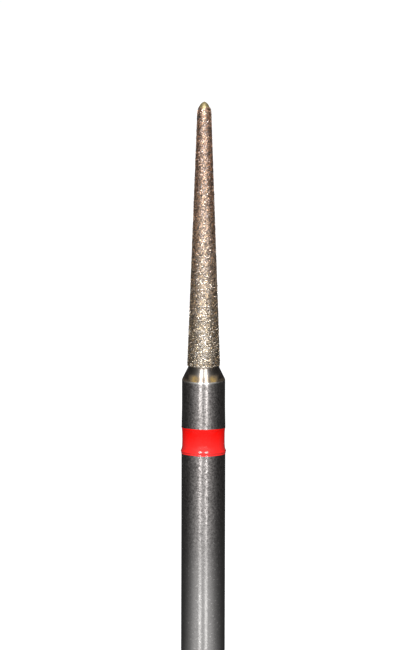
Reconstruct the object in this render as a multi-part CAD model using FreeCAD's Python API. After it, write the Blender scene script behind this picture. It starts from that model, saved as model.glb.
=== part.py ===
import FreeCAD, Part
import math
import os

# Friction-grip dental bur with a long tapered diamond head, standing on the end of its shank.
# All sizes are in millimetres. Z runs up the axis from the flat end of the shank to the tip.

# Shank
OVERALL_LENGTH = 22.0
SHANK_DIAMETER = 1.60
END_CHAMFER = 0.05

# Collar above the ring: it narrows a little at first, and then runs straight to its shoulder
COLLAR_LENGTH = 1.78
COLLAR_TAPER_LENGTH = 0.75
COLLAR_DIAMETER = 1.574
SHOULDER_ROUND = 0.04

# Groove that holds the colour ring
GROOVE_WIDTH = 0.93
GROOVE_DEPTH = 0.16

# Neck: a short straight land under the diamonds, then a cone out to the collar
NECK_LENGTH = 0.53
NECK_LAND = 0.05
NECK_ROUND = 0.15

# Head, measured over the diamond coat
HEAD_LENGTH = 9.73
HEAD_BASE_DIAMETER = 1.184
HEAD_TIP_DIAMETER = 0.504
POINT_LENGTH = 0.40
BARE_TIP_LENGTH = 0.21
BARE_TIP_RADIUS = 0.190
NOSE_RADIUS = 0.018

# Diamond coat
COAT_THICKNESS = 0.036
COAT_RIM_THICKNESS = 0.010
COAT_EDGE_ROUND = 0.018

# Colour ring: a hollow waist between a low lip on top and a fuller bead below
WAIST_INSET = 0.026
WAIST_HOLLOW = 0.010
LIP_PROUD = 0.004
LIP_HEIGHT = 0.05
BEAD_PROUD = 0.026
BEAD_ABOVE_EDGE = 0.18
BEAD_BELOW_EDGE = 0.03

# Heights and radii that follow from the sizes above
neck_top = OVERALL_LENGTH - HEAD_LENGTH
shoulder = neck_top - NECK_LENGTH
groove_top = shoulder - COLLAR_LENGTH
groove_bottom = groove_top - GROOVE_WIDTH
point_start = OVERALL_LENGTH - POINT_LENGTH
bare_tip_start = OVERALL_LENGTH - BARE_TIP_LENGTH
shank_radius = SHANK_DIAMETER / 2
groove_radius = shank_radius - GROOVE_DEPTH
collar_radius = COLLAR_DIAMETER / 2
coat_base_radius = HEAD_BASE_DIAMETER / 2
coat_point_radius = HEAD_TIP_DIAMETER / 2
core_base_radius = coat_base_radius - COAT_THICKNESS
core_point_radius = coat_point_radius - COAT_THICKNESS


def at(radius, height):
    """A point of a half outline, which lies in the plane through the axis."""
    return FreeCAD.Vector(radius, 0, height)


def line(start, end):
    """A straight edge of an outline."""
    return Part.LineSegment(start, end).toShape()


def arc(start, through, end):
    """A round edge of an outline, through three points."""
    return Part.Arc(start, through, end).toShape()


def arc_along(direction, start, end):
    """A round edge that leaves its start in the given direction."""
    along = FreeCAD.Vector(direction).normalize()
    across = FreeCAD.Vector(-along.z, 0, along.x)
    chord = end - start
    to_centre = across * (chord.dot(chord) / (2 * chord.dot(across)))
    centre = start + to_centre
    to_middle = (start + end) * 0.5 - centre
    return arc(start, centre + to_middle.normalize() * to_centre.Length, end)


def rounded(before, corner, after, radius):
    """Start, middle and end of the arc that rounds a corner, at most 45% of its shorter side long."""
    to_before = before - corner
    to_after = after - corner
    half_angle = to_before.getAngle(to_after) / 2
    reach = min(radius / math.tan(half_angle), 0.45 * min(to_before.Length, to_after.Length))
    first = corner + to_before.normalize() * reach
    last = corner + to_after.normalize() * reach
    inward = (first + last) * 0.5 - corner
    sagitta = reach / math.cos(half_angle) - reach * math.tan(half_angle)
    return first, corner + inward.normalize() * sagitta, last


def turned(edges):
    """The solid that a closed half outline makes when it is turned round the axis."""
    face = Part.Face(Part.Wire(edges))
    return face.revolve(at(0, 0), FreeCAD.Vector(0, 0, 1), 360)


def steel_blank():
    """Shank, collar, neck and tapered core of the head, turned from one bar of stainless steel."""
    foot = at(0, 0)
    foot_edge = at(shank_radius - END_CHAMFER, 0)
    shank_start = at(shank_radius, END_CHAMFER)
    groove_low_edge = at(shank_radius, groove_bottom)
    groove_low = at(groove_radius, groove_bottom)
    groove_high = at(groove_radius, groove_top)
    collar_start = at(shank_radius, groove_top)
    collar_straight = at(collar_radius, groove_top + COLLAR_TAPER_LENGTH)
    collar_end = at(collar_radius, shoulder)
    cone_end = at(core_base_radius, neck_top - NECK_LAND)
    core_start = at(core_base_radius, neck_top)
    core_end = at(core_point_radius, point_start)
    bare_start = at(BARE_TIP_RADIUS, bare_tip_start)
    nose_edge = at(NOSE_RADIUS, OVERALL_LENGTH)
    nose = at(0, OVERALL_LENGTH)

    shoulder_arc = rounded(collar_straight, collar_end, cone_end, SHOULDER_ROUND)
    neck_arc = rounded(collar_end, cone_end, core_start, NECK_ROUND)
    covered_point = arc_along(core_end - core_start, core_end, bare_start)
    bare_point = arc_along(covered_point.tangentAt(covered_point.LastParameter), bare_start, nose_edge)
    return turned([
        line(foot, foot_edge),
        line(foot_edge, shank_start),
        line(shank_start, groove_low_edge),
        line(groove_low_edge, groove_low),
        line(groove_low, groove_high),
        line(groove_high, collar_start),
        line(collar_start, collar_straight),
        line(collar_straight, shoulder_arc[0]),
        arc(*shoulder_arc),
        line(shoulder_arc[2], neck_arc[0]),
        arc(*neck_arc),
        line(neck_arc[2], core_start),
        line(core_start, core_end),
        covered_point,
        bare_point,
        line(nose_edge, nose),
        line(nose, foot),
    ])


def diamond_coat(blank):
    """Nickel bond with diamond grit, plated on the core. The very tip of the core stays bare."""
    base_middle = at(0, neck_top)
    base_edge = at(coat_base_radius, neck_top)
    point_foot = at(coat_point_radius, point_start)
    rim = at(BARE_TIP_RADIUS + COAT_RIM_THICKNESS, bare_tip_start)
    rim_middle = at(0, bare_tip_start)
    base_arc = rounded(base_middle, base_edge, point_foot, COAT_EDGE_ROUND)
    outside = turned([
        line(base_middle, base_arc[0]),
        arc(*base_arc),
        line(base_arc[2], point_foot),
        arc_along(point_foot - base_edge, point_foot, rim),
        line(rim, rim_middle),
        line(rim_middle, base_middle),
    ])
    return outside.cut(blank)


def colour_ring(blank):
    """Red enamel that fills the groove. It sank in the middle and stands up at both edges."""
    waist_radius = shank_radius - WAIST_INSET
    waist_end_radius = waist_radius + WAIST_HOLLOW
    bead_foot_height = groove_bottom - BEAD_BELOW_EDGE
    top_middle = at(0, groove_top)
    lip = at(shank_radius + LIP_PROUD, groove_top)
    waist_top = at(waist_end_radius, groove_top - LIP_HEIGHT)
    waist_bottom = at(waist_end_radius, groove_bottom + BEAD_ABOVE_EDGE)
    waist = at(waist_radius, (waist_top.z + waist_bottom.z) / 2)
    bead = at(shank_radius + BEAD_PROUD, (waist_bottom.z + bead_foot_height) / 2)
    bead_foot = at(shank_radius, bead_foot_height)
    foot_middle = at(0, bead_foot_height)
    outside = turned([
        line(top_middle, lip),
        line(lip, waist_top),
        arc(waist_top, waist, waist_bottom),
        arc(waist_bottom, bead, bead_foot),
        line(bead_foot, foot_middle),
        line(foot_middle, top_middle),
    ])
    return outside.cut(blank)


def main():
    os.makedirs("parts", exist_ok=True)
    blank = steel_blank()
    parts = {
        "steel_blank": blank,
        "diamond_coat": diamond_coat(blank),
        "colour_ring": colour_ring(blank),
    }
    for name, shape in parts.items():
        shape.exportStep("parts/" + name + ".step")
        print(name, "valid", shape.isValid(), "solids", len(shape.Solids), "mm3", round(shape.Volume, 4))


main()
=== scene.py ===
import math
import random

import bmesh
import bpy
from mathutils import Euler, Matrix, Quaternion, Vector, noise


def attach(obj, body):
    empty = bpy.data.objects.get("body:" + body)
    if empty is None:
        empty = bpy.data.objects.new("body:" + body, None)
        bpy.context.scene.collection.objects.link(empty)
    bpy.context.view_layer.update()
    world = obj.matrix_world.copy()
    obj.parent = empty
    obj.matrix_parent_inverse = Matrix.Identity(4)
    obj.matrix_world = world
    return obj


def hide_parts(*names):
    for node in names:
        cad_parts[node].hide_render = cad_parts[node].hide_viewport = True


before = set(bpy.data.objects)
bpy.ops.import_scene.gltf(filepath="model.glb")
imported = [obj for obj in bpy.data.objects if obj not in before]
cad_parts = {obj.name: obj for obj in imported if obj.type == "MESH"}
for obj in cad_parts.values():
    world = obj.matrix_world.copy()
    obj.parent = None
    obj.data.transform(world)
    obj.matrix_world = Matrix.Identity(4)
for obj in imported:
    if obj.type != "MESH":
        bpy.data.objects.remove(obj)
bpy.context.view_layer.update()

# ---------------------------------------------------------------- steel blank
# The blank is turned from one bar of stainless steel: shank, groove, collar, cone neck, and the
# tapered core under the diamonds. It is tumbled to a satin grain, and then its neck is polished.
# Heat left gilt stains low on the neck, and the bare tip is worn and tarnished.

MM = 0.001
OVERALL = 22.0
SHANK_R = 0.80
END_CHAMFER = 0.05
GROOVE_R = 0.64
GROOVE_LOW = 9.065
GROOVE_HIGH = 9.965
COLLAR_R = 0.787
COLLAR_STRAIGHT = 10.71
SHOULDER = 11.74
CORE_BASE_R = 0.556
NECK_LAND = 0.05
NECK_TOP = 12.27
CORE_POINT_R = 0.216
POINT_START = 21.60
BARE_R = 0.190
BARE_START = 21.79
NOSE_R = 0.018

FOOT_ROUND = 0.01
CHAMFER_ROUND = 0.03
GROOVE_ROUND = 0.02
COLLAR_ROUND = 0.008
SHOULDER_ROUND = 0.05
NECK_ROUND = 0.15

# The shank's colour is lighter than the collar's as painted light, standing in for more light low
# down.
SHANK_COLOUR_WITH_PAINTED_LIGHT = (0.475, 0.462, 0.452)
COLLAR_COLOUR = (0.42, 0.391, 0.379)
CONE_FOOT_COLOUR = (0.34, 0.28, 0.225)
CONE_TOP_COLOUR = (0.25, 0.205, 0.165)
# Painted highlight along the shoulder's rounded edge.
SHOULDER_HIGHLIGHT_COLOUR = (0.80, 0.78, 0.75)
GILT_COLOUR = (0.455, 0.30, 0.10)
TARNISH_COLOUR = (0.38, 0.31, 0.15)


def round_corner(wire, corner, radius):
    """Rounds one corner of an outline, to a radius in millimetres where its sides leave room."""
    sides = [edge.other_vert(corner).co - corner.co for edge in corner.link_edges]
    half_angle = sides[0].angle(sides[1]) / 2
    reach = min(radius * MM / math.tan(half_angle), 0.45 * min(side.length for side in sides))
    bmesh.ops.bevel(wire, geom=[corner], offset=reach, segments=4, profile=0.5,
                    affect="VERTICES", material=-1)


def outline(*corners):
    """A bmesh that holds a half outline, and its corners, from radii and heights in millimetres."""
    wire = bmesh.new()
    points = [wire.verts.new((radius * MM, 0, height * MM)) for radius, height in corners]
    for point, after in zip(points, points[1:]):
        wire.edges.new((point, after))
    return wire, points


def bow_out(wire, start, direction, radius, height, steps):
    """Carries an outline on from its point start, which it leaves in a direction, along an arc to a
    radius and height in millimetres. Returns the last point, and the direction there."""
    along = Vector(direction).normalized()
    chord = Vector((radius * MM, 0, height * MM)) - start.co
    half_turn = along.angle(chord)
    side = 1 if along.cross(chord).y > 0 else -1
    inward = Matrix.Rotation(side * math.pi / 2, 3, "Y") @ along
    centre = start.co + inward * chord.length / (2 * math.sin(half_turn))
    made = bmesh.ops.spin(wire, geom=[start], cent=centre, axis=(0, side, 0), angle=2 * half_turn,
                          steps=steps)
    last = next(part for part in made["geom_last"] if isinstance(part, bmesh.types.BMVert))
    return last, Matrix.Rotation(side * 2 * half_turn, 3, "Y") @ along


def spin_round(wire, steps):
    """Turns an outline once round Z."""
    bmesh.ops.spin(wire, geom=wire.verts[:] + wire.edges[:], cent=(0, 0, 0), axis=(0, 0, 1),
                   angle=math.tau, steps=steps, use_merge=True)


def new_piece(name, form):
    """An object with the shape of a bmesh, which isn't needed after that."""
    mesh = bpy.data.meshes.new(name)
    form.to_mesh(mesh)
    form.free()
    piece = bpy.data.objects.new(name, mesh)
    bpy.context.scene.collection.objects.link(piece)
    return piece


def turned(name, wire, steps, sharp_degrees=35):
    """Turns an outline round Z into a closed smooth-shaded object."""
    spin_round(wire, steps)
    bmesh.ops.remove_doubles(wire, verts=wire.verts[:], dist=1e-8)
    bmesh.ops.recalc_face_normals(wire, faces=wire.faces[:])
    for face in wire.faces:
        face.smooth = True
    piece = new_piece(name, wire)
    piece.data.set_sharp_from_angle(angle=math.radians(sharp_degrees))
    return piece


class Signal:
    """A number or colour that varies. Python's operators on it add Math nodes to its wiring."""

    def __init__(self, wiring, socket):
        self.wiring = wiring
        self.socket = socket

    def __add__(self, other):
        return self.wiring.maths("ADD", self, other)

    def __radd__(self, other):
        return self.wiring.maths("ADD", other, self)

    def __sub__(self, other):
        return self.wiring.maths("SUBTRACT", self, other)

    def __rsub__(self, other):
        return self.wiring.maths("SUBTRACT", other, self)

    def __mul__(self, other):
        return self.wiring.maths("MULTIPLY", self, other)

    def __rmul__(self, other):
        return self.wiring.maths("MULTIPLY", other, self)

    def __truediv__(self, other):
        return self.wiring.maths("DIVIDE", self, other)

    def __pow__(self, other):
        return self.wiring.maths("POWER", self, other)

    def between(self, low, high):
        """0 below low, 1 above high, and smooth between. With low above high it falls instead."""
        return self.wiring.add("ShaderNodeMapRange", {"interpolation_type": "SMOOTHSTEP"},
                               {"Value": self, "From Min": low, "From Max": high})("Result")

    def within(self, low, high, soft):
        """1 from low to high, fading to 0 over a soft margin on each side."""
        return self.between(low - soft, low) * self.between(high + soft, high)


class Wiring:
    """The nodes of a material or of the world."""

    def __init__(self, tree):
        self.tree = tree

    def add(self, kind, settings=None, sockets=None):
        """Adds a node, and returns a function that gives its output of a name."""
        node = self.tree.nodes.new(kind)
        for setting, value in (settings or {}).items():
            if setting == "color_ramp":
                stops = node.color_ramp.elements
                while len(stops) < len(value):
                    stops.new(1.0)
                for stop, (position, grey) in zip(stops, value):
                    stop.position, stop.color = position, (grey, grey, grey, 1)
            else:
                setattr(node, setting, value)
        for wanted, value in (sockets or {}).items():
            if isinstance(wanted, int):
                socket = node.inputs[wanted]
            else:
                socket = next(one for one in node.inputs
                              if one.enabled and wanted in (one.name, one.identifier))
            self.feed(socket, value)
        return lambda output: Signal(self, next(one for one in node.outputs
                                                if one.enabled and one.name == output))

    def feed(self, socket, value):
        """Links a socket to what varies, or sets it to a number, colour or vector."""
        if isinstance(value, Signal):
            self.tree.links.new(value.socket, socket)
        elif socket.type == "RGBA" and len(value) == 3:
            socket.default_value = (*value, 1.0)
        else:
            socket.default_value = value

    def maths(self, operation, *values):
        """A Math node's result."""
        return self.add("ShaderNodeMath", {"operation": operation},
                        dict(enumerate(values)))("Value")

    def blend(self, share, first, second):
        """The first colour where share is 0, and the second where it is 1."""
        return self.add("ShaderNodeMix", {"data_type": "RGBA"},
                        {"Factor": share, "A": first, "B": second})("Result")

    def tint(self, colour, shade):
        """A colour made lighter or darker by a number that varies."""
        return self.add("ShaderNodeVectorMath", {"operation": "SCALE"},
                        {"Vector": colour, "Scale": shade})("Vector")


class Finish(Wiring):
    """A material with one Principled shader, on Object coordinates in millimetres."""

    def __init__(self, name, **fixed):
        self.material = bpy.data.materials.new(name)
        self.material.use_nodes = True
        super().__init__(self.material.node_tree)
        self.tree.nodes.clear()
        out = self.tree.nodes.new("ShaderNodeOutputMaterial")
        self.shader = self.tree.nodes.new("ShaderNodeBsdfPrincipled")
        self.tree.links.new(self.shader.outputs["BSDF"], out.inputs["Surface"])
        self.surface(**fixed)
        place = self.add("ShaderNodeTexCoord")("Object")
        self.place = self.tint(place, 1 / MM)
        apart = self.add("ShaderNodeSeparateXYZ", {}, {"Vector": self.place})
        self.across, self.depth, self.height = apart("X"), apart("Y"), apart("Z")

    def surface(self, **values):
        """Sets or links sockets of the Principled shader, such as Base_Color."""
        for name, value in values.items():
            self.feed(self.shader.inputs[name.replace("_", " ")], value)

    def specks(self, size, detail=2.0, stretch=(1, 1, 1)):
        """Soft noise from 0 to 1 with specks of about a size in millimetres."""
        spot = self.add("ShaderNodeVectorMath", {"operation": "MULTIPLY"},
                        {0: self.place, 1: tuple(1 / (size * s) for s in stretch)})("Vector")
        return self.add("ShaderNodeTexNoise", {}, {"Vector": spot, "Scale": 1.0, "Detail": detail,
                                                   "Roughness": 0.6})("Fac")

    def relief(self, height_mm):
        """Tilts the surface as a relief of that height in millimetres would."""
        bump = self.add("ShaderNodeBump", {},
                        {"Height": height_mm, "Distance": MM, "Strength": 1.0})
        self.surface(Normal=bump("Normal"))


wire, (foot, foot_edge, shank_start, groove_low_edge, groove_low, groove_high, collar_start,
       collar_straight, collar_end, cone_end, core_start, core_end) = outline(
    (0, 0),
    (SHANK_R - END_CHAMFER, 0),
    (SHANK_R, END_CHAMFER),
    (SHANK_R, GROOVE_LOW),
    (GROOVE_R, GROOVE_LOW),
    (GROOVE_R, GROOVE_HIGH),
    (SHANK_R, GROOVE_HIGH),
    (COLLAR_R, COLLAR_STRAIGHT),
    (COLLAR_R, SHOULDER),
    (CORE_BASE_R, NECK_TOP - NECK_LAND),
    (CORE_BASE_R, NECK_TOP),
    (CORE_POINT_R, POINT_START))
taper = core_end.co - core_start.co
bare_start, downhill = bow_out(wire, core_end, taper, BARE_R, BARE_START, steps=6)
nose_edge, _ = bow_out(wire, bare_start, downhill, NOSE_R, OVERALL, steps=14)
wire.edges.new((nose_edge, wire.verts.new((0, 0, OVERALL * MM))))
for corner, radius in ((groove_low_edge, GROOVE_ROUND), (collar_start, COLLAR_ROUND),
                       (collar_end, SHOULDER_ROUND), (cone_end, NECK_ROUND),
                       (foot_edge, FOOT_ROUND), (shank_start, CHAMFER_ROUND)):
    round_corner(wire, corner, radius)
blank = turned("steel_blank_turned", wire, steps=192)

steel = Finish("satin_steel", Anisotropic=1.0, Anisotropic_Rotation=0.25, Coat_IOR=1.8,
               Coat_Roughness=0.3)
z = steel.height
from_middle = steel.maths("ABSOLUTE", steel.across)
on_neck = z.within(SHOULDER + 0.01, NECK_TOP, 0.02)
satin = 1 - on_neck

# Gilt: a mottled stain low on each side of the neck, and a thin film along its foot
blotches = steel.specks(0.11, detail=3.0).between(0.25, 0.65)
stain_height = z.between(SHOULDER, SHOULDER + 0.02) * z.between(SHOULDER + 0.31, SHOULDER + 0.16)
stain_width = from_middle.between(0.12, 0.30) * from_middle.between(0.60, 0.35)
stains = stain_height * stain_width * (0.35 + 0.65 * blotches)
film = z.within(SHOULDER, SHOULDER + 0.08, 0.04) * from_middle.between(0.1, 0.3)
gilt = steel.maths("MAXIMUM", stains, film * (0.08 + 0.12 * blotches))
mottled_gilt = steel.tint(GILT_COLOUR, 0.55 + 0.9 * steel.specks(0.05, detail=1.0))

# Tumbled grain, which fades toward the lower shank, with nicks and fine slanting scratches
grainy = (0.18 + 0.82 * z.between(4.0, 8.0)) * satin
grain = steel.specks(0.055).between(0.34, 0.66)
flecks = steel.specks(0.10, detail=3.0).between(0.34, 0.66)
cloud = steel.specks(0.5, detail=4.0)
nicks = steel.specks(0.08, detail=0.0).between(0.70, 0.77)
slant = steel.add("ShaderNodeVectorMath", {"operation": "DOT_PRODUCT"},
                  {0: steel.place, 1: (40, 40, 18)})("Value")
scratch_place = steel.add("ShaderNodeCombineXYZ", {}, {"X": slant, "Y": z * 1.2})("Vector")
scratches = steel.add("ShaderNodeTexNoise", {}, {"Vector": scratch_place, "Scale": 1.0,
                                                 "Detail": 1.0})("Fac").between(0.66, 0.74)

shade = 1 + grainy * ((grain - 0.5) * 0.6 + (flecks - 0.5) * 0.45) + 0.4 * nicks * satin
shade = shade + (cloud - 0.5) * 0.3 + 0.3 * scratches * cloud.between(0.45, 0.6) * satin
# Painted light: below 9 millimetres the colour turns lighter toward the bottom, standing in for
# more light low down; the collar's warmer tint is its own.
colour = steel.tint(steel.blend(z.between(3.0, 9.0), SHANK_COLOUR_WITH_PAINTED_LIGHT, COLLAR_COLOUR), shade)
cone_colour = steel.blend(z.between(SHOULDER + 0.25, SHOULDER + 0.45),
                          CONE_FOOT_COLOUR, CONE_TOP_COLOUR)
colour = steel.blend(on_neck, colour, cone_colour)
colour = steel.blend(gilt, colour, mottled_gilt)
# Painted highlight: a light band along the shoulder's rounded edge, fading toward the sides, where
# the lamps would glint.
painted_shoulder_highlight = z.within(SHOULDER - 0.035, SHOULDER + 0.012, 0.015) * from_middle.between(0.75, 0.35)
colour = steel.blend(painted_shoulder_highlight, colour, SHOULDER_HIGHLIGHT_COLOUR)

scuffed = grainy * (1 - 0.6 * z.between(9.5, 10.2)) * flecks
rubbed = z.between(3.0, 6.4) * z.between(9.7, 9.3)
rough = 0.23 - 0.085 * rubbed + 0.07 * scuffed + 0.11 * on_neck * (1 - gilt) + 0.2 * gilt
polish = on_neck * (1 - gilt) * (0.15 + 0.85 * z.between(SHOULDER + 0.1, SHOULDER + 0.3))
turning_lines = steel.specks(0.04, detail=1.0, stretch=(60, 60, 1))
steel.surface(Base_Color=colour, Roughness=rough, Metallic=1 - 0.6 * gilt, Coat_Weight=polish)
steel.relief(grainy * ((grain - 0.5) * 0.0003 + (flecks - 0.5) * 0.0005)
             + on_neck * (turning_lines - 0.5) * 0.0008)
blank.data.materials.append(steel.material)

worn = Finish("worn_tip", Metallic=0.6, Roughness=0.45)
spots = worn.specks(0.06)
worn.surface(Base_Color=worn.tint(TARNISH_COLOUR, 0.1 + 1.6 * spots))
worn.relief(spots * 0.006)
blank.data.materials.append(worn.material)
for face in blank.data.polygons:
    if face.center.z > (BARE_START - 0.05) * MM:
        face.material_index = 1
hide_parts("steel_blank")
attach(blank, "root")

# ---------------------------------------------------------------- nickel bond
# The diamonds are held by nickel that is plated on the core up to about half the height of the
# grains. It is a warm satin, painted darker in its hollows as painted shade, and it ends in a
# ragged rim above the neck and below the tip.

COAT_BASE_R = 0.592
COAT_POINT_R = 0.252
BOND_SUNK = 0.015
BOND_ROUND = 0.015
BOND_UNEVEN = 0.005
RIM_HEIGHT = 0.03
RAGGED = 0.03
LUMP = 0.06
REDDER_FROM = 12.5
REDDER_TO = 20.5
BOND_BASE_COLOUR = (0.60, 0.51, 0.40)
BOND_TIP_COLOUR = (0.66, 0.44, 0.33)


def coat_radius(height):
    """The radius of the smooth face through the tops of the grains, all in millimetres."""
    if height < POINT_START:
        up_the_taper = (height - NECK_TOP) / (POINT_START - NECK_TOP)
        return COAT_BASE_R + (COAT_POINT_R - COAT_BASE_R) * up_the_taper
    up_the_point = (height - POINT_START) / (BARE_START - POINT_START)
    return COAT_POINT_R - 0.007 * up_the_point - 0.045 * up_the_point ** 2


wire, (rim_low, skin_low, skin_high, rim_high) = outline(
    (CORE_BASE_R - 0.004, NECK_TOP),
    (COAT_BASE_R - BOND_SUNK, NECK_TOP + 0.004),
    (COAT_POINT_R - BOND_SUNK, POINT_START),
    (BARE_R - 0.003, BARE_START + 0.01))
round_corner(wire, skin_low, BOND_ROUND)
long_side = [edge for edge in wire.edges if edge.calc_length() > 5 * MM]
bmesh.ops.subdivide_edges(wire, edges=long_side, cuts=300)
point_side = [edge for edge in wire.edges if rim_high in edge.verts]
bmesh.ops.subdivide_edges(wire, edges=point_side, cuts=8)
for point in wire.verts:
    height = point.co.z / MM
    if height > POINT_START and point is not rim_high:
        sunk = BOND_SUNK * (1 - (height - POINT_START) / 0.2)
        point.co.x = (coat_radius(height) - sunk) * MM
bond = turned("nickel_bond", wire, steps=128)
for point in bond.data.vertices:
    spot = point.co / (LUMP * MM)
    outward = Vector((point.co.x, point.co.y, 0)).normalized()
    point.co += outward * noise.noise(spot) * BOND_UNEVEN * MM
    if point.co.z < (NECK_TOP + RIM_HEIGHT) * MM:
        point.co.z -= max(0.0, noise.noise(spot * 0.7 + Vector((9, 0, 0)))) * RAGGED * MM

nickel = Finish("nickel_with_grit", Metallic=1.0)
toward_tip = nickel.height.between(REDDER_FROM, REDDER_TO)
hollow_shade_and_height = nickel.specks(0.05, detail=3.0).between(0.30, 0.70)
colour = nickel.blend(toward_tip, BOND_BASE_COLOUR, BOND_TIP_COLOUR)
# Painted shade: the same noise that sinks the surface darkens its colour, so the hollows are
# painted dark.
nickel.surface(Base_Color=nickel.tint(colour, 0.12 + 1.25 * hollow_shade_and_height), Roughness=0.30 + 0.2 * hollow_shade_and_height)
nickel.relief(hollow_shade_and_height * 0.002)
bond.data.materials.append(nickel.material)
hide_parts("diamond_coat")
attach(bond, "root")

# ---------------------------------------------------------------- diamond grains
# Thousands of flat-topped diamond crystals of about 40 microns stand in the nickel, one layer deep.
# Plating fixed them as they fell: three in four lie nearly flat, the rest at a slant. At the base
# nearly four in ten are clear, at the tip two. One in six is brown, and nickel films the rest.

GRAINS_EACH = 6000
BATCH = 100
GRAIN = 0.040
GRAIN_SPREAD = 0.007
SMALLEST_GRAIN = 0.028
LARGEST_GRAIN = 0.056
GRAINS_ON_POINT = 0.012
FLAT_GRAINS = 0.75
TILT = math.radians(4)
STEEP_TILT = math.radians(15)
EVEN_ALONG = 0.7548776662
EVEN_ROUND = 0.5698402910

CLEAR_BASE_COLOUR = (0.90, 0.82, 0.72)
CLEAR_TIP_COLOUR = (0.80, 0.61, 0.52)
FILMED_BASE_COLOUR = (0.57, 0.43, 0.25)
FILMED_TIP_COLOUR = (0.61, 0.35, 0.19)
BROWN_BASE_COLOUR = (0.23, 0.14, 0.06)
BROWN_TIP_COLOUR = (0.24, 0.11, 0.05)
random.seed(7962)


def add_grain(batch, index):
    """Adds one crystal, still a block. Its number spreads the crystals evenly over the coat."""
    share = (index * EVEN_ALONG) % 1.0
    radius = math.sqrt(COAT_BASE_R ** 2 - share * (COAT_BASE_R ** 2 - COAT_POINT_R ** 2))
    up_the_taper = (COAT_BASE_R - radius) / (COAT_BASE_R - COAT_POINT_R)
    height = NECK_TOP + up_the_taper * (POINT_START - NECK_TOP)
    if random.random() < GRAINS_ON_POINT:
        height = random.uniform(POINT_START, BARE_START + 0.03)
    size = min(LARGEST_GRAIN, max(SMALLEST_GRAIN, random.gauss(GRAIN, GRAIN_SPREAD)))
    height += random.uniform(-0.012, 0.02)
    radius = coat_radius(height) - size * 0.14 + random.uniform(0.002, 0.011)
    around = index * EVEN_ROUND * math.tau + random.uniform(-0.03, 0.03)
    place = Vector((radius * math.cos(around), radius * math.sin(around), height)) * MM
    seat = Vector((math.cos(around), math.sin(around), 0.035)).to_track_quat("Z", "X")
    tilt = TILT if random.random() < FLAT_GRAINS else STEEP_TILT
    lean = Euler((random.gauss(0, tilt), random.gauss(0, tilt), random.uniform(0, math.tau)))
    shape = Vector((random.uniform(0.8, 1.2), random.uniform(0.8, 1.2), random.uniform(0.2, 0.38)))
    bmesh.ops.create_cube(batch, size=size * 0.95 * MM,
                          matrix=Matrix.LocRotScale(place, seat @ lean.to_quaternion(), shape))


def grain_layer(name, first, count):
    """Crystals by number, made in small batches, because one large bmesh grows slow."""
    layer = bmesh.new()
    for start in range(first, first + count, BATCH):
        batch = bmesh.new()
        for index in range(start, min(start + BATCH, first + count)):
            add_grain(batch, index)
        bmesh.ops.bevel(batch, geom=batch.verts[:], affect="VERTICES", offset_type="PERCENT",
                        offset=50, segments=1, profile=0.5, material=-1)
        bmesh.ops.remove_doubles(batch, verts=batch.verts[:], dist=1e-7)
        mesh = bpy.data.meshes.new("batch")
        batch.to_mesh(mesh)
        batch.free()
        layer.from_mesh(mesh)
        bpy.data.meshes.remove(mesh)
    return new_piece(name, layer)


diamond = Finish("diamond_grit", IOR=2.42, Specular_IOR_Level=0.6, Coat_Weight=1.0, Coat_IOR=2.2,
                 Coat_Roughness=0.30)
toward_tip = diamond.height.between(REDDER_FROM, REDDER_TO)
cell = diamond.add("ShaderNodeTexVoronoi", {}, {"Vector": diamond.place, "Scale": 1 / GRAIN})
pick = diamond.add("ShaderNodeSeparateColor", {}, {"Color": cell("Color")})
filmed = (pick("Red") + 0.16 * toward_tip).between(0.34, 0.40)
brown = pick("Red").between(0.80, 0.86)
clear_colour = diamond.blend(toward_tip, CLEAR_BASE_COLOUR, CLEAR_TIP_COLOUR)
filmed_colour = diamond.tint(diamond.blend(toward_tip, FILMED_BASE_COLOUR, FILMED_TIP_COLOUR),
                             0.16 + 1.50 * pick("Green").between(0.30, 0.80))
brown_colour = diamond.tint(diamond.blend(toward_tip, BROWN_BASE_COLOUR, BROWN_TIP_COLOUR),
                            0.1 + 1.4 * pick("Green"))
colour = diamond.blend(brown, diamond.blend(filmed, clear_colour, filmed_colour), brown_colour)
diamond.surface(Base_Color=colour, Metallic=1 - brown,
                Roughness=0.16 + 0.08 * pick("Blue") + 0.14 * filmed)
for number in range(2):
    grains = grain_layer(f"diamond_grains_{number + 1}", number * GRAINS_EACH, GRAINS_EACH)
    grains.data.materials.append(diamond.material)
    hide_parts("diamond_coat")
    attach(grains, "root")

# ---------------------------------------------------------------- colour ring
# Red enamel fills the groove and was baked there. It sank to a hollow waist, flared out to a bead
# at the lower edge, and crept a little over the upper edge on one side.

RING_IN_R = GROOVE_R + 0.002
RING_IN_LOW = 9.063
RING_IN_HIGH = 9.967
LIP = ((0.795, 9.975), (0.803, 9.975), (0.800, 9.955), (0.793, 9.93))
WAIST = ((0.786, 9.90), (0.776, 9.75), (0.774, 9.55), (0.7755, 9.36), (0.782, 9.24))
BEAD = ((0.797, 9.16), (0.812, 9.125), (0.826, 9.095), (0.822, 9.068), (0.804, 9.052))
HEM = ((0.802, 9.043), (0.812, 9.018), (0.808, 9.006), (0.797, 9.003))
WAIST_ROUND = 0.4
ENAMEL_ROUND = 0.02
OUTSIDE_FROM_R = 0.7
FRONT_RISE = 0.06
HEM_BELOW = 9.055
HEM_SHARE = 0.5
OVERFLOW = 0.03
OVERFLOW_ABOVE = 9.9
TOP_EDGE_ABOVE = 9.97
TOP_EDGE_R = 0.7985
FILM_R = 0.8035
FILM_SLOPE = 0.5
ENAMEL_LOW_SHEEN_COLOUR = (0.93, 0.022, 0.020)
ENAMEL_HIGH_SHADE_COLOUR = (0.90, 0.003, 0.001)

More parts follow.
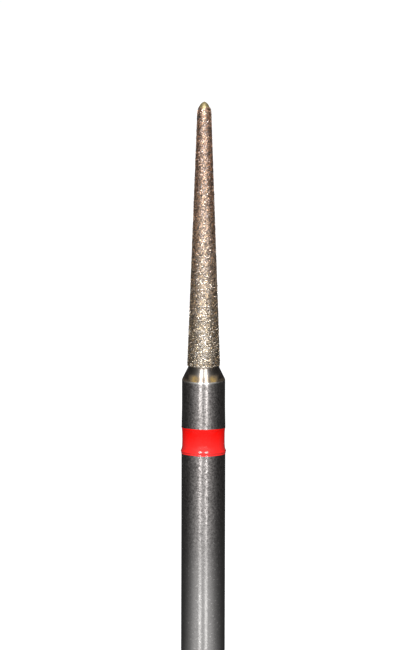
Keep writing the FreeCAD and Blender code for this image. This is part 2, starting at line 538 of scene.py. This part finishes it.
wire, corners = outline((RING_IN_R, RING_IN_HIGH), *LIP, *WAIST, *BEAD, *HEM,
                        (RING_IN_R, RING_IN_LOW))
roundings = ([ENAMEL_ROUND] * len(LIP) + [WAIST_ROUND] * len(WAIST)
             + [ENAMEL_ROUND] * len(BEAD + HEM))
for corner, radius in zip(corners[1:-1], roundings):
    round_corner(wire, corner, radius)
wire.edges.new((corners[0], corners[-1]))
ring = turned("enamel_ring", wire, steps=192, sharp_degrees=60)
for point in ring.data.vertices:
    radius, height = point.co.to_2d().length / MM, point.co.z / MM
    if radius > OUTSIDE_FROM_R:
        front = max(0.0, -point.co.y / (SHANK_R * MM))
        around = math.atan2(point.co.y, point.co.x)
        lift = FRONT_RISE * front ** 1.5 * (HEM_SHARE if height < HEM_BELOW else 1.0)
        lift += 0.006 * math.sin(2 * around + 0.6) + 0.004 * math.sin(5 * around)
        if height > OVERFLOW_ABOVE:
            lift += OVERFLOW * max(0.0, -math.cos(around + 0.2)) ** 8
        point.co.z += lift * MM
        if height > TOP_EDGE_ABOVE:
            point.co.xy *= TOP_EDGE_R / radius
        else:
            clear_of_steel = FILM_R - FILM_SLOPE * max(0.0, GROOVE_HIGH - point.co.z / MM)
            point.co.xy *= max(1.0, clear_of_steel / radius)

enamel = Finish("red_enamel", Roughness=0.2, Specular_IOR_Level=0.15, Coat_Roughness=0.1)
# Painted light: the red is paler and pinker low on the ring, as a painted sheen, and deeper toward
# the top, as painted shade under the collar's edge.
painted_shade_upward = enamel.height.between(9.15, 9.95)
dull_waist = enamel.height.between(9.28, 9.42) * enamel.height.between(10.025, 10.01)
enamel.surface(Base_Color=enamel.blend(painted_shade_upward, ENAMEL_LOW_SHEEN_COLOUR, ENAMEL_HIGH_SHADE_COLOUR),
               Coat_Weight=1 - 0.75 * dull_waist)
enamel.relief(enamel.specks(0.5, detail=1.0) * 0.002)
ring.data.materials.append(enamel.material)
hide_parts("colour_ring")
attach(ring, "root")

# ---------------------------------------------------------------- camera
# A long lens looks down on the bur by 11 degrees, from so far that its sides stay parallel.
# The photograph's frame is 409 by 650 pixels, at 27.5 pixels to the millimetre.

ELEVATION = math.radians(11)
ROLL = math.radians(0.15)
FRAME_ROWS = 650
TIP_ROW = 102.35
AIM_RIGHT = 0.75
PIXELS_PER_MM = 27.5
SENSOR = 36
CAMERA_DISTANCE = 0.5

aim_height = OVERALL - (FRAME_ROWS / 2 - TIP_ROW) / (PIXELS_PER_MM * math.cos(ELEVATION))
aim = Vector((AIM_RIGHT / PIXELS_PER_MM, 0, aim_height)) * MM
toward_camera = Vector((0, -math.cos(ELEVATION), math.sin(ELEVATION)))
lens = bpy.data.cameras.new("camera")
lens.sensor_width = SENSOR
lens.lens = SENSOR * CAMERA_DISTANCE / (FRAME_ROWS / PIXELS_PER_MM * MM)
lens.clip_start = 0.01
camera = bpy.data.objects.new("camera", lens)
camera.location = aim + toward_camera * CAMERA_DISTANCE
level = (-toward_camera).to_track_quat("-Z", "Y")
camera.rotation_euler = (Quaternion(toward_camera, ROLL) @ level).to_euler()
bpy.context.scene.collection.objects.link(camera)
bpy.context.scene.camera = camera

# ---------------------------------------------------------------- light
# Two tall strip lamps stand in front, either side of the camera, and a weaker pair behind. A soft
# sky fills in, more from the front, and shows as plain white to the camera and in the metal.

STRIP_DISTANCE = 0.15
STRIP_AIM = 12
SKY_BEHIND = 0.08
SKY_IN_FRONT = 0.80


def strip_lamp(name, azimuth, elevation, width, height, power):
    """A strip lamp that faces the neck. Azimuth is from the camera's side, in degrees."""
    lamp_data = bpy.data.lights.new(name, "AREA")
    lamp_data.shape = "RECTANGLE"
    lamp_data.size = width
    lamp_data.size_y = height
    lamp_data.energy = power
    lamp = bpy.data.objects.new(name, lamp_data)
    across, up = math.radians(azimuth), math.radians(elevation)
    outward = Vector((math.sin(across) * math.cos(up),
                      -math.cos(across) * math.cos(up),
                      math.sin(up)))
    lamp.location = Vector((0, 0, STRIP_AIM * MM)) + outward * STRIP_DISTANCE
    lamp.rotation_euler = (-outward).to_track_quat("-Z", "Y").to_euler()
    bpy.context.scene.collection.objects.link(lamp)


for name, azimuth in (("left_strip", -17.3), ("right_strip", 16.6)):
    strip_lamp(name, azimuth, elevation=34, width=0.033, height=0.115, power=0.152)
for name, azimuth in (("left_back_strip", -168), ("right_back_strip", 168)):
    strip_lamp(name, azimuth, elevation=40.5, width=0.022, height=0.080, power=0.03)


def seen_directly(wiring):
    """1 for rays from the camera, from metal and through glass, and 0 for plain lighting."""
    ray = wiring.add("ShaderNodeLightPath")
    seen = wiring.maths("MAXIMUM", ray("Is Camera Ray"), ray("Is Glossy Ray"))
    return wiring.maths("MAXIMUM", seen, ray("Is Transmission Ray"))


world = bpy.data.worlds.new("studio")
world.use_nodes = True
sky = Wiring(world.node_tree)
direction = sky.add("ShaderNodeTexCoord")("Generated")
backward = sky.add("ShaderNodeSeparateXYZ", {}, {"Vector": direction})("Y")
glow = sky.add("ShaderNodeMapRange", {}, {"Value": backward, "From Min": 0.0, "From Max": -1.0,
                                          "To Min": SKY_BEHIND, "To Max": SKY_IN_FRONT})("Result")
strength = sky.add("ShaderNodeMapRange", {},
                   {"Value": seen_directly(sky), "To Min": glow})("Result")
background = world.node_tree.nodes["Background"]
sky.feed(background.inputs["Color"], (1, 1, 1))
sky.feed(background.inputs["Strength"], strength)
world.cycles.sampling_method = "NONE"
bpy.context.scene.world = world
bpy.context.scene.view_settings.view_transform = "Standard"

# ---------------------------------------------------------------- floor and cards
# The bur stands on a plain white floor. A dome of grey cards, open toward the camera, glows by its
# own emission and is there only for the metal to mirror, as a painted reflection: light in front
# and dark behind, so that its sides run dark as in the photograph. The diamonds face up a little,
# and mirror a band of the cards' ground 7 to 15 centimetres out, which glows brighter than white.

FLOOR_GREY = (0.4, 0.4, 0.4)
FLOOR_GLOW = 0.82
FLOOR_HALF = 1.5
DOME = ((1.0, 0.02), (145, 0.02), (145, 60), (120, 110), (80, 145), (40, 162), (0, 168))
DOME_TURN = 3
GAP_ABOVE = 50
GAP_HALF_ANGLE = 26
NEAR_GREYS = [(0.0, 0.74), (0.20, 0.83), (0.27, 0.72), (0.37, 0.38), (0.48, 0.21), (0.61, 0.09),
              (0.80, 0.035), (1.0, 0.03)]
FAR_GREYS = [(0.0, 0.62), (0.12, 0.60), (0.20, 0.50), (0.27, 0.30), (0.37, 0.15), (0.48, 0.065),
             (0.65, 0.045), (1.0, 0.03)]
HEAD_GREYS = [(0.0, 1.0), (0.12, 0.95), (0.15, 0.25), (0.25, 0.09), (0.37, 0.06), (0.48, 0.04),
              (0.65, 0.03), (1.0, 0.02)]
HEAD_GAIN = 2.3


def stage_piece(name, sheet, material):
    """A piece of the stage, which isn't part of the bur."""
    piece = new_piece(name, sheet)
    piece.data.materials.append(material)
    return piece


board = Finish("white_floor", Base_Color=FLOOR_GREY, Roughness=0.9, Specular_IOR_Level=0.0,
               Emission_Strength=1.0)
board.surface(Emission_Color=seen_directly(board) * FLOOR_GLOW)
board.material.cycles.emission_sampling = "NONE"
sheet = bmesh.new()
bmesh.ops.create_grid(sheet, x_segments=1, y_segments=1, size=FLOOR_HALF)
stage_piece("floor", sheet, board.material)

cards = Finish("glowing_grey_cards", Base_Color=(0, 0, 0), Roughness=1.0, Specular_IOR_Level=0.0,
               Emission_Strength=1.0)
from_front = cards.maths("ARCTAN2", cards.across, -1 * cards.depth) * (180 / math.pi) + DOME_TURN
turn = cards.maths("ABSOLUTE", from_front) / 180
distance = cards.maths("SQRT", cards.across ** 2 + cards.depth ** 2)
near, far, head = (cards.add("ShaderNodeValToRGB", {"color_ramp": greys}, {"Fac": turn})("Color")
                   for greys in (NEAR_GREYS, FAR_GREYS, HEAD_GREYS))
close_by = distance.between(30, 8)
for_head = distance.between(72, 88) * distance.between(146, 118)
for_shank = near * close_by + far * (1 - close_by)
# Painted reflection: the cards glow in a grey ramp by angle from the front, and the band for the
# diamonds glows at HEAD_GAIN times its ramp.
cards.surface(Emission_Color=for_shank * (1 - for_head) + head * HEAD_GAIN * for_head)
cards.material.cycles.emission_sampling = "NONE"
sheet, _ = outline(*DOME)
spin_round(sheet, steps=96)
gap = []
for face in sheet.faces:
    centre = face.calc_center_median()
    angle = math.degrees(math.atan2(centre.x, -centre.y))
    if centre.z > GAP_ABOVE * MM and abs(angle) < GAP_HALF_ANGLE:
        gap.append(face)
bmesh.ops.delete(sheet, geom=gap, context="FACES")
surround = stage_piece("card_surround", sheet, cards.material)
surround.visible_camera = False
surround.visible_diffuse = False
surround.visible_transmission = False
surround.visible_shadow = False
